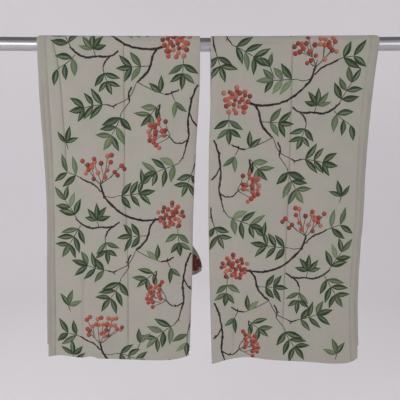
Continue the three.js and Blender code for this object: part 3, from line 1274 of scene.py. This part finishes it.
def steel_material(rod):
    """Polished steel tube, faintly brushed along its length and dulled by handling."""
    shader = Shader("polished steel")
    place = shader.add("ShaderNodeTexCoord").out("Object")
    brushed = shader.noise(place, 1.0, 2.0, (14, 900, 900))
    smears = shader.noise(place, 38.0, 3.0, (0.5, 1, 1))
    dull = opaque(np.array(rod.steel) * 0.8)
    return shader.finish(
        {
            "Base Color": shader.mixed((smears - 0.45) * 0.5, opaque(rod.steel), dull),
            "Metallic": 1.0,
            "Roughness": 0.12 + smears * 0.1 + brushed * 0.04,
            "Normal": shader.bump(brushed, 0.12, 0.00005),
        }
    )


def wall_material(stage):
    sockets = {"Base Color": opaque(stage.wall), "Roughness": 0.9, "Specular IOR Level": 0.1}
    return Shader("pale wall").finish(sockets)


def link(name, data):
    piece = bpy.data.objects.new(name, data)
    bpy.context.scene.collection.objects.link(piece)
    return piece


def ring_mesh(name, axis, rings, closed_ends):
    """A smooth mesh through rings of points, each (centre, radius), round the X or Z axis."""
    sides = ROUND_SIDES
    points = []
    for centre, radius in rings:
        for angle in math.tau * np.arange(sides) / sides:
            turned = (radius * math.cos(angle), radius * math.sin(angle))
            offset = (0, *turned) if axis == "X" else (*turned, 0)
            points.append([c + o for c, o in zip(centre, offset)])
    faces = []
    for start in range(0, (len(rings) - 1) * sides, sides):
        for side in range(sides):
            after = (side + 1) % sides
            faces.append([start + side, start + after, start + sides + after, start + sides + side])
    if closed_ends:
        faces.append(list(range(sides))[::-1])
        faces.append([(len(rings) - 1) * sides + side for side in range(sides)])
    mesh = bpy.data.meshes.new(name)
    mesh.from_pydata(points, [], faces)
    mesh.polygons.foreach_set("use_smooth", np.ones(len(faces), dtype=bool))
    return mesh


class CURTAINS_OT_stage(bpy.types.Operator):
    """Adds the camera, the lights and the pale round studio"""

    bl_idname = "curtains.stage"
    bl_label = "Stage"

    def execute(self, context):
        stage = context.scene.curtain_pair.stage
        self.add_camera(context)
        self.add_lights(stage)
        self.add_studio(stage)
        self.add_room_light(context, stage)
        context.scene.view_settings.view_transform = "Standard"
        return {"FINISHED"}

    def add_camera(self, context):
        data = bpy.data.cameras.new("front camera")
        data.lens = LENS
        data.sensor_width = SENSOR
        camera = link("front camera", data)
        camera.location = CAMERA_PLACE
        camera.rotation_euler = (math.pi / 2 - CAMERA_TILT, 0, 0)
        context.scene.camera = camera

    def add_lights(self, stage):
        """Soft lights for the cloth, bright panels for the rod to mirror, and washes for the wall."""
        middle = ROD_MIDDLE
        lamps = [
            Lamp("key light", (-0.8, -1.35, 0.1), (0.35, 0, -0.2), 1.0, stage.key_power, False),
            Lamp("fill light", (1.65, -1.2, -0.1), (0.45, 0, -0.3), 1.0, stage.fill_power, False),
            Lamp("back light", (0.5, 1.35, 0.6), (middle, 0, -0.3), 1.0, stage.fill_power, False),
            Lamp("left panel", (-0.55, -1.3, -0.25), (middle, 0, -0.1), 0.7, stage.panel_power, True),
            Lamp("right panel", (1.5, -1.2, -0.28), (middle, 0, -0.1), 0.65, 0.5 * stage.panel_power, True),
        ]
        for turn in range(4):
            angle = math.pi * (turn + 0.5) / 2
            outwards = Vector((math.cos(angle), math.sin(angle), 0))
            place = Vector((middle, 0, 1.15)) + 0.7 * outwards
            aim = Vector((middle, 0, -0.1)) + 2.1 * outwards
            power = stage.wall_power * (1.03 - 0.12 * math.cos(angle))
            lamps.append(Lamp(f"wall light {turn + 1}", place, aim, 1.0, power, False))
        for lamp in lamps:
            data = bpy.data.lights.new(lamp.name, "AREA")
            data.shape = "SQUARE"
            data.size = lamp.size
            data.energy = lamp.power
            light = link(lamp.name, data)
            light.location = lamp.place
            light.rotation_euler = (Vector(lamp.aim) - Vector(lamp.place)).to_track_quat("-Z", "Y").to_euler()
            light.visible_camera = False
            light.visible_glossy = lamp.mirrored

    def add_studio(self, stage):
        """A floor that sweeps up into a round wall."""
        floor, radius, bend, top = -0.95, 2.1, 0.6, 1.5
        rings = [((ROD_MIDDLE, 0, floor), reach) for reach in (0, 0.5, 1.0)]
        for turn in np.linspace(0, math.pi / 2, 13):
            centre = (ROD_MIDDLE, 0, floor + bend * (1 - math.cos(turn)))
            rings.append((centre, radius - bend + bend * math.sin(turn)))
        rings.append(((ROD_MIDDLE, 0, top), radius))
        studio = link("studio", ring_mesh("studio", "Z", rings, False))
        studio.data.materials.append(wall_material(stage))

    def add_room_light(self, context, stage):
        world = bpy.data.worlds.new("room")
        world.use_nodes = True
        background = world.node_tree.nodes["Background"]
        background.inputs["Color"].default_value = (0.98, 0.99, 1.0, 1.0)
        background.inputs["Strength"].default_value = stage.sky
        context.scene.world = world


class CURTAINS_OT_rod(bpy.types.Operator):
    """Adds the polished round rod, which sags a little between its ends"""

    bl_idname = "curtains.rod"
    bl_label = "Rod"

    def execute(self, context):
        rod = context.scene.curtain_pair.rod
        half = ROD_LENGTH / 2
        stations = np.linspace(-half + rod.chamfer, half - rod.chamfer, ROD_STATIONS)
        rings = [(self.centre(-half), ROD_RADIUS - rod.chamfer)]
        rings += [(self.centre(x), ROD_RADIUS) for x in stations]
        rings += [(self.centre(half), ROD_RADIUS - rod.chamfer)]
        mesh = ring_mesh("round_rod", "X", rings, True)
        mesh.set_sharp_from_angle(angle=math.radians(30))
        piece = link("round_rod", mesh)
        mesh.materials.append(steel_material(rod))
        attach(piece, "root")
        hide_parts("rod")
        return {"FINISHED"}

    @staticmethod
    def centre(x):
        return (ROD_MIDDLE + x, 0, -sag_at(x / MM) * MM)


class CURTAINS_OT_cloths(bpy.types.Operator):
    """Adds the two folded linen panels, with the print cut into their meshes"""

    bl_idname = "curtains.cloths"
    bl_label = "Curtains"

    def execute(self, context):
        cloth = context.scene.curtain_pair.cloth
        for panel in PANELS:
            folded = FoldedCloth(panel, cloth)
            mesh = cloth_mesh(folded, cloth)
            width = folded.last_edge * MM
            for side, ink_amount in (("printed side", 1.0), ("wrong side", 0.3)):
                name = f"{panel.name} {side}"
                mesh.materials.append(linen_material(name, cloth, width, panel.hem_shade, ink_amount))
            piece = link(panel.name, mesh)
            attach(piece, "root")
            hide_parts(panel.node)
            self.flat_size(folded)
        return {"FINISHED"}

    @staticmethod
    def flat_size(folded):
        """The size that the panel was cut to, in metres."""
        drops = [max(row.drop for row in folded.panel.drops[flap]) for flap in ("front", "back")]
        length = sum(drops) + folded.over_rod
        return ((folded.last_edge - folded.first_edge) * MM, length * MM)


class CURTAINS_PT_panel(bpy.types.Panel):
    """Lists the steps in order"""

    bl_idname = "CURTAINS_PT_panel"
    bl_label = "Curtain Pair"
    bl_space_type = "VIEW_3D"
    bl_region_type = "UI"
    bl_category = "Curtains"

    def draw(self, context):
        settings = context.scene.curtain_pair
        for group, operator in (
            (settings.stage, CURTAINS_OT_stage),
            (settings.rod, CURTAINS_OT_rod),
            (settings.cloth, CURTAINS_OT_cloths),
        ):
            box = self.layout.box()
            for name in group.__annotations__:
                box.prop(group, name)
            box.operator(operator.bl_idname)


CLASSES = (
    ClothSettings,
    RodSettings,
    StageSettings,
    CurtainPairSettings,
    CURTAINS_OT_stage,
    CURTAINS_OT_rod,
    CURTAINS_OT_cloths,
    CURTAINS_PT_panel,
)


def register():
    for cls in CLASSES:
        bpy.utils.register_class(cls)
    bpy.types.Scene.curtain_pair = PointerProperty(type=CurtainPairSettings)


def unregister():
    del bpy.types.Scene.curtain_pair
    for cls in reversed(CLASSES):
        bpy.utils.unregister_class(cls)


def main():
    register()
    bpy.ops.curtains.stage()
    bpy.ops.curtains.rod()
    bpy.ops.curtains.cloths()


if __name__ == "__main__":
    main()
